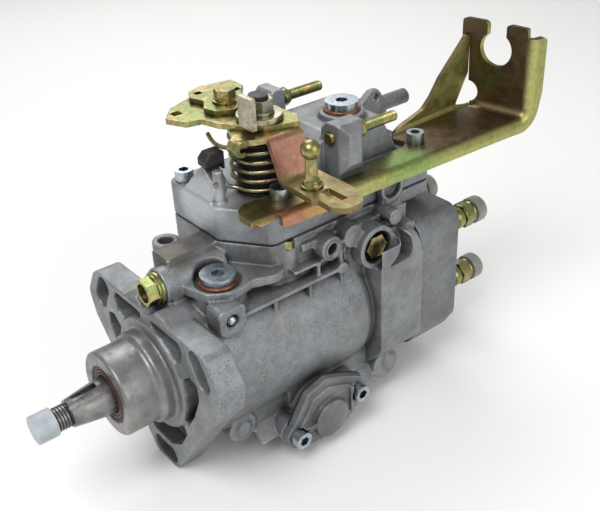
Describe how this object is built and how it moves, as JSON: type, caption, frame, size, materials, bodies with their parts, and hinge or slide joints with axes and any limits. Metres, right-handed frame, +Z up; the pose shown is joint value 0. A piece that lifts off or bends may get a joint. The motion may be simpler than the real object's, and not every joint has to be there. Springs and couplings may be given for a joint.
{
  "type": "diesel injection pump",
  "caption": "Rotary diesel injection pump with a cast housing, tapered drive shaft, governor cover, throttle linkage, cable bracket and four capped outlets.",
  "frame": {"origin": "centre of the flange's mounting face, on the drive shaft's axis", "axes": "+X along the shaft from the drive end to the delivery outlets, +Z up through the governor cover, +Y to the far side of the picture"},
  "size_m": [0.317, 0.132, 0.197],
  "materials": {
    "cast_alloy": "sand cast, blasted, lightly oil stained",
    "head_steel": "dark, fine ground",
    "machined_steel": "machined, oiled",
    "pressed_steel": "pressed, plain",
    "zinc_silver": "bright zinc",
    "zinc_yellow": "yellow passivated zinc, slightly iridescent",
    "spring_steel": "oiled spring wire",
    "bronze": "sintered, oiled",
    "copper": "dull copper",
    "black_rubber": "matt",
    "seal_rubber": "satin",
    "gasket_sheet": "matt",
    "clear_cap": "translucent"
  },
  "bodies": {
    "pump": {"pump_housing": "cast_alloy", "governor_cover": "cast_alloy", "timer_cover_near": "cast_alloy", "timer_cover_far": "cast_alloy", "hydraulic_head": "head_steel", "return_fitting": "head_steel", "vane_pump_ring": "machined_steel", "vane_pump_plate": "machined_steel", "spring_bridge": "machined_steel", "governor_shaft": "machined_steel", "corrector_lever": "pressed_steel", "sealing_plugs": "zinc_silver", "cover_screws": "zinc_silver", "timer_screws": "zinc_silver", "head_plug": "zinc_silver", "cable_bracket": "zinc_yellow", "pivot_bolts": "zinc_yellow", "hex_spacer": "zinc_yellow", "stop_screws": "zinc_yellow", "delivery_valve_holders": "zinc_yellow", "governor_lock_nut": "zinc_yellow", "head_bolts": "zinc_yellow", "return_spring": "spring_steel", "governor_spring": "spring_steel", "timer_spring": "spring_steel", "plunger_springs": "spring_steel", "shaft_bush": "bronze", "copper_washers": "copper", "rubber_stop": "black_rubber", "spring_guide": "black_rubber", "shaft_seal": "seal_rubber", "cover_gasket": "gasket_sheet", "valve_caps": "clear_cap"},
    "shaft": {"drive_shaft": "machined_steel", "shaft_thread_cap": "clear_cap", "vane_rotor": "machined_steel", "pump_vanes": "machined_steel", "drive_gear": "machined_steel", "cam_disc": "machined_steel", "plunger": "machined_steel"},
    "governor": {"flyweight_carrier": "machined_steel"},
    "weight_1": {"flyweight_1": "machined_steel"},
    "weight_2": {"flyweight_2": "machined_steel"},
    "weight_3": {"flyweight_3": "machined_steel"},
    "weight_4": {"flyweight_4": "machined_steel"},
    "sleeve": {"sliding_sleeve": "machined_steel"},
    "levers": {"start_lever": "pressed_steel", "tension_lever": "pressed_steel"},
    "spool": {"control_spool": "machined_steel"},
    "ring": {"roller_ring": "machined_steel", "rollers": "machined_steel"},
    "timer": {"timer_piston": "machined_steel"},
    "throttle": {"throttle_shaft": "machined_steel", "control_lever": "zinc_yellow", "sector_plate": "zinc_yellow", "cam_plate": "zinc_yellow", "sector_bolt": "zinc_yellow", "stop_arm": "pressed_steel", "lever_nut": "zinc_yellow", "ball_stud": "zinc_yellow"}
  },
  "joints": [
    {"name": "shaft_spin", "type": "hinge", "parent": "pump", "child": "shaft", "pos_m": [0, 0, 0], "axis": [1, 0, 0], "continuous": true},
    {"name": "governor_spin", "type": "hinge", "parent": "pump", "child": "governor", "pos_m": [0.0603, 0, 0.048], "axis": [1, 0, 0], "continuous": true},
    {"name": "sleeve_slide", "type": "slide", "parent": "pump", "child": "sleeve", "axis": [1, 0, 0], "range_m": [0, 0.0025], "stiffness_N_per_m": 2000, "springref_m": -0.001},
    {"name": "flyweight_1_hinge", "type": "hinge", "parent": "governor", "child": "weight_1", "pos_m": [0.0688, 0, 0.065], "axis": [0, -1, 0], "range_deg": [0, 12.5]},
    {"name": "flyweight_2_hinge", "type": "hinge", "parent": "governor", "child": "weight_2", "pos_m": [0.0688, -0.017, 0.048], "axis": [0, 0, -1], "range_deg": [0, 12.5]},
    {"name": "flyweight_3_hinge", "type": "hinge", "parent": "governor", "child": "weight_3", "pos_m": [0.0688, 0, 0.031], "axis": [0, 1, 0], "range_deg": [0, 12.5]},
    {"name": "flyweight_4_hinge", "type": "hinge", "parent": "governor", "child": "weight_4", "pos_m": [0.0688, 0.017, 0.048], "axis": [0, 0, 1], "range_deg": [0, 12.5]},
    {"name": "governor_lever_hinge", "type": "hinge", "parent": "pump", "child": "levers", "pos_m": [0.112, 0, 0.028], "axis": [0, 1, 0], "range_deg": [0, 7.3]},
    {"name": "spool_slide", "type": "slide", "parent": "pump", "child": "spool", "axis": [1, 0, 0], "range_m": [-0.0023, 0]},
    {"name": "timer_slide", "type": "slide", "parent": "pump", "child": "timer", "axis": [0, 1, 0], "range_m": [0, 0.007], "stiffness_N_per_m": 4000, "springref_m": -0.002, "deforming": ["timer_spring"]},
    {"name": "roller_ring_turn", "type": "hinge", "parent": "pump", "child": "ring", "pos_m": [0.074, 0, 0], "axis": [1, 0, 0], "range_deg": [0, 10.8]},
    {"name": "throttle_turn", "type": "hinge", "parent": "pump", "child": "throttle", "pos_m": [0.079, 0.001, 0.1], "axis": [0, 0, 1], "range_deg": [0, 16], "stiffness_Nm_per_rad": 2, "springref_deg": -17.19, "deforming": ["return_spring"]}
  ],
  "couplings": [
    {"joint": "governor_spin", "follows": "shaft_spin", "ratio": -1.6087},
    {"joint": "flyweight_1_hinge", "follows": "sleeve_slide", "rad_per_m": 87},
    {"joint": "flyweight_2_hinge", "follows": "sleeve_slide", "rad_per_m": 87},
    {"joint": "flyweight_3_hinge", "follows": "sleeve_slide", "rad_per_m": 87},
    {"joint": "flyweight_4_hinge", "follows": "sleeve_slide", "rad_per_m": 87},
    {"joint": "governor_lever_hinge", "follows": "sleeve_slide", "rad_per_m": 50},
    {"joint": "spool_slide", "follows": "sleeve_slide", "ratio": -0.9},
    {"joint": "roller_ring_turn", "follows": "timer_slide", "rad_per_m": 26.667}
  ]
}
